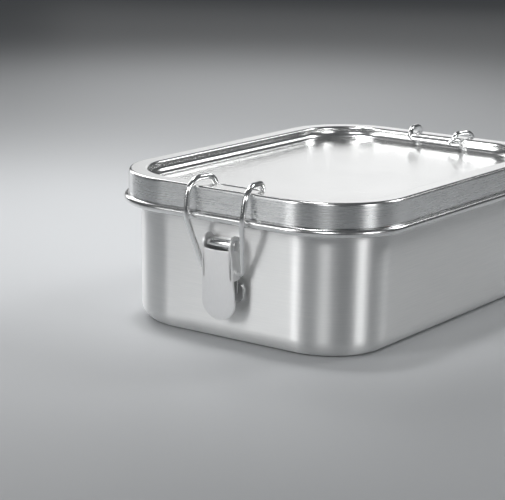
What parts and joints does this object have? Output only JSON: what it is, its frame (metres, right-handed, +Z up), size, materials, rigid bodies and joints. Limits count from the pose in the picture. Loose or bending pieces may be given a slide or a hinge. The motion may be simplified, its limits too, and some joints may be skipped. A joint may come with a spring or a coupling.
{
  "type": "lunch box",
  "caption": "Rectangular steel lunch box with rounded corners, a recessed clamp-on lid with a seal, and a wire toggle latch on each short side.",
  "frame": {"origin": "middle of the underside, on the surface that the box stands on", "axes": "+Y along the length towards the rear latch, +X across the width, +Z up"},
  "size_m": [0.1286, 0.1852, 0.066],
  "materials": {
    "tray_steel": "satin, brushed along the wall",
    "lid_steel": "satin skirt and panel",
    "seal_silicone": "matt translucent silicone",
    "bracket_steel": "pressed sheet, bright",
    "lever_steel": "satin",
    "pin_steel": "polished",
    "wire_steel": "polished"
  },
  "bodies": {
    "base": {"base_tray": "tray_steel", "front_bracket": "bracket_steel", "rear_bracket": "bracket_steel"},
    "lid": {"lid_pan": "lid_steel", "lid_seal": "seal_silicone"},
    "front_lever": {"front_lever": "lever_steel", "front_lever_pin": "pin_steel"},
    "front_bail": {"front_bail": "wire_steel"},
    "rear_lever": {"rear_lever": "lever_steel", "rear_lever_pin": "pin_steel"},
    "rear_bail": {"rear_bail": "wire_steel"}
  },
  "joints": [
    {"name": "lid_lift", "type": "slide", "parent": "base", "child": "lid", "axis": [0, 0, 1], "range_m": [0, 0.003]},
    {"name": "front_lever_pivot", "type": "hinge", "parent": "base", "child": "front_lever", "pos_m": [0, -0.08637, 0.0408], "axis": [-1, 0, 0], "range_deg": [0, 125]},
    {"name": "front_bail_pivot", "type": "hinge", "parent": "front_lever", "child": "front_bail", "pos_m": [0, -0.08492, 0.0295], "axis": [1, 0, 0], "range_deg": [0, 92.5]},
    {"name": "rear_lever_pivot", "type": "hinge", "parent": "base", "child": "rear_lever", "pos_m": [0, 0.08637, 0.0408], "axis": [1, 0, 0], "range_deg": [0, 125]},
    {"name": "rear_bail_pivot", "type": "hinge", "parent": "rear_lever", "child": "rear_bail", "pos_m": [0, 0.08492, 0.0295], "axis": [-1, 0, 0], "range_deg": [0, 92.5]}
  ],
  "couplings": [
    {"joint": "front_lever_pivot", "follows": "lid_lift", "rad_per_m": 727.22},
    {"joint": "front_bail_pivot", "follows": "lid_lift", "rad_per_m": 538.14},
    {"joint": "rear_lever_pivot", "follows": "lid_lift", "rad_per_m": 727.22},
    {"joint": "rear_bail_pivot", "follows": "lid_lift", "rad_per_m": 538.14}
  ]
}
